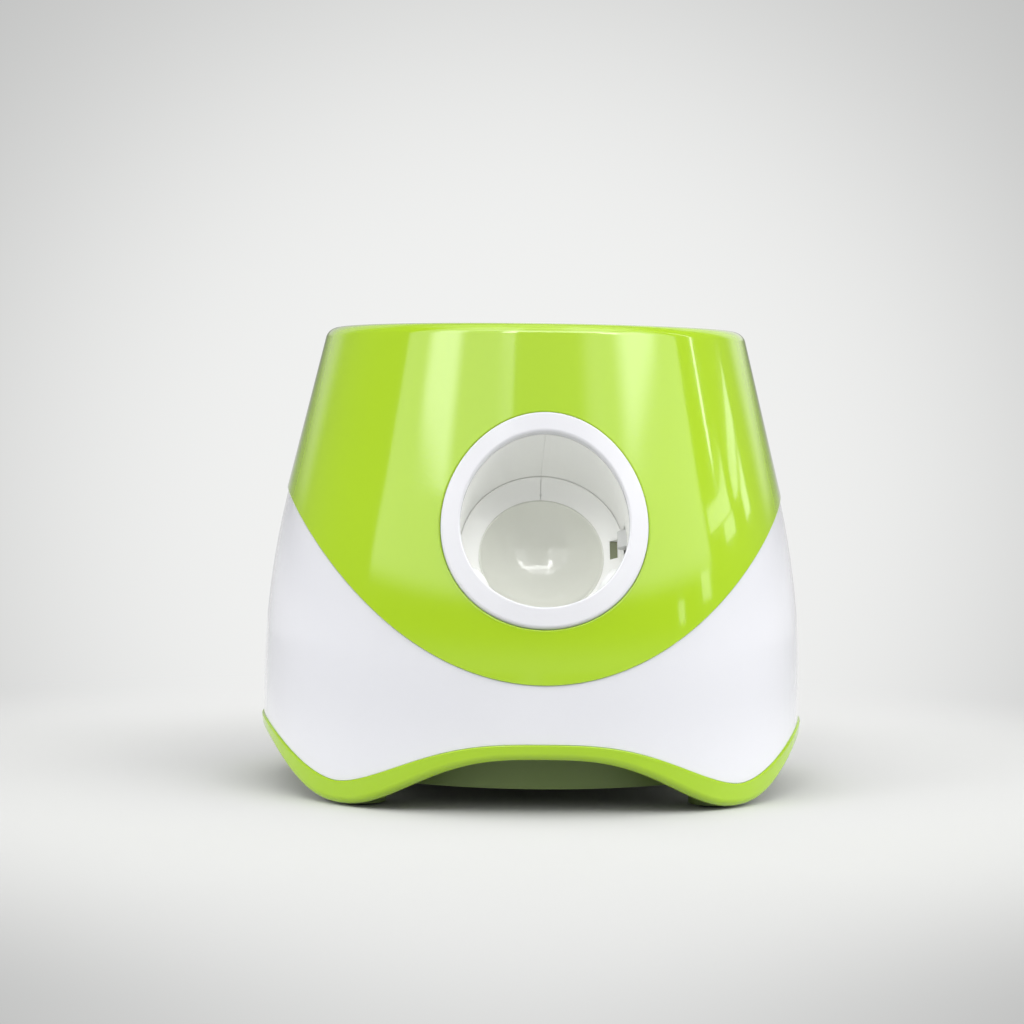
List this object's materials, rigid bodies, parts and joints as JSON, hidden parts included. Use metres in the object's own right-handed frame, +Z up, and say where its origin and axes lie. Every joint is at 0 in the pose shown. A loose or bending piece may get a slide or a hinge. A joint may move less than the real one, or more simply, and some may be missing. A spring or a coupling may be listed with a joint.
{
  "type": "automatic ball launcher",
  "caption": "Round two-colour tabletop ball launcher for dogs: open hopper on top, tilted barrel with a geared spring striker, push-button panel at the back, battery bay below.",
  "frame": {"origin": "centre of the footprint on the surface the launcher stands on", "axes": "+Z up; the front, with the muzzle, faces -Y; +X to the right when looking along +Y, from the front to the back"},
  "size_m": [0.209, 0.209, 0.175],
  "materials": {
    "green_shell": "gloss",
    "green_inner": "satin",
    "white_shell": "gloss",
    "barrel_plastic": "satin",
    "ball_rest_plastic": "satin",
    "striker_plastic": "gloss",
    "gear_plastic": "satin",
    "steel": "satin",
    "motor_can": "satin",
    "brass": "satin",
    "lever_plastic": "satin",
    "circuit_board": "satin",
    "panel_plastic": "satin",
    "red_button": "satin",
    "white_button": "satin",
    "light_lens": "gloss",
    "black_plastic": "satin",
    "cell_wrap": "gloss",
    "lead_red": "satin",
    "foot_rubber": "matte"
  },
  "bodies": {
    "housing": {"upper_shell": "green_shell", "base_trim": "green_shell", "base_tray": "green_inner", "tray_rim": "green_inner", "lower_shell": "white_shell", "muzzle_ring": "white_shell", "hopper_bowl": "white_shell", "barrel_left": "barrel_plastic", "barrel_right": "barrel_plastic", "front_saddle": "barrel_plastic", "rear_saddle": "barrel_plastic", "spring_seat": "barrel_plastic", "gearbox_inner_plate": "barrel_plastic", "gearbox_outer_plate": "barrel_plastic", "ball_rest_left": "ball_rest_plastic", "ball_rest_right": "ball_rest_plastic", "launch_spring": "steel", "gearbox_spacers": "steel", "gearbox_screws": "steel", "motor_screws": "steel", "sensor_pin": "steel", "sensor_spring": "steel", "button_springs": "steel", "board_screws": "steel", "battery_contacts": "steel", "case_screws": "steel", "hopper_screws": "steel", "drive_motor": "motor_can", "gear_bushes": "brass", "sensor_board": "circuit_board", "control_board": "circuit_board", "control_panel": "panel_plastic", "led_lenses": "light_lens", "tact_switches": "black_plastic", "buzzer": "black_plastic", "power_inlet": "black_plastic", "battery_box": "black_plastic", "battery_cells": "cell_wrap", "motor_leads": "lead_red", "battery_leads": "lead_red", "foot_pads": "foot_rubber"},
    "striker": {"striker_head": "striker_plastic", "striker_sleeve": "striker_plastic", "drive_rack": "gear_plastic", "rack_screws": "steel"},
    "sector": {"sector_gear": "gear_plastic", "sector_wheel": "gear_plastic", "sector_shaft": "steel"},
    "compound": {"compound_gear": "gear_plastic", "compound_shaft": "steel"},
    "rotor": {"motor_pinion": "brass", "motor_shaft": "steel"},
    "lever": {"sensor_lever": "lever_plastic"},
    "power_key": {"power_button": "red_button"},
    "distance_key": {"distance_button": "white_button"},
    "door": {"battery_door": "green_inner"}
  },
  "joints": [
    {"name": "sector_turn", "type": "hinge", "parent": "housing", "child": "sector", "pos_m": [0.038, -0.01732, 0.0429], "axis": [-1, 0, 0], "range_deg": [0, 240]},
    {"name": "striker_slide", "type": "slide", "parent": "housing", "child": "striker", "axis": [0, 0.8829, -0.4695], "range_m": [0, 0.0628], "stiffness_N_per_m": 260, "springref_m": -0.02, "deforming": ["launch_spring"]},
    {"name": "compound_turn", "type": "hinge", "parent": "housing", "child": "compound", "pos_m": [0.048, -0.03837, 0.03524], "axis": [-1, 0, 0], "range_deg": [-881, 0]},
    {"name": "rotor_turn", "type": "hinge", "parent": "housing", "child": "rotor", "pos_m": [0.05, -0.03153, 0.05403], "axis": [-1, 0, 0], "range_deg": [0, 3521]},
    {"name": "sensor_swing", "type": "hinge", "parent": "housing", "child": "lever", "pos_m": [0.037, -0.08019, 0.09932], "axis": [0, -0.4695, -0.8829], "range_deg": [0, 30], "stiffness_Nm_per_rad": 0.0015, "springref_deg": -5.73},
    {"name": "power_press", "type": "slide", "parent": "housing", "child": "power_key", "axis": [0, -1, 0], "range_m": [0, 0.0008], "stiffness_N_per_m": 600, "springref_m": -0.0005},
    {"name": "distance_press", "type": "slide", "parent": "housing", "child": "distance_key", "axis": [0, -1, 0], "range_m": [0, 0.0008], "stiffness_N_per_m": 600, "springref_m": -0.0005},
    {"name": "door_slide", "type": "slide", "parent": "housing", "child": "door", "axis": [-1, 0, 0], "range_m": [0, 0.034]}
  ],
  "couplings": [
    {"joint": "sector_turn", "follows": "striker_slide", "rad_per_m": 66.667},
    {"joint": "compound_turn", "follows": "striker_slide", "rad_per_m": -244.44},
    {"joint": "rotor_turn", "follows": "striker_slide", "rad_per_m": 977.78}
  ]
}
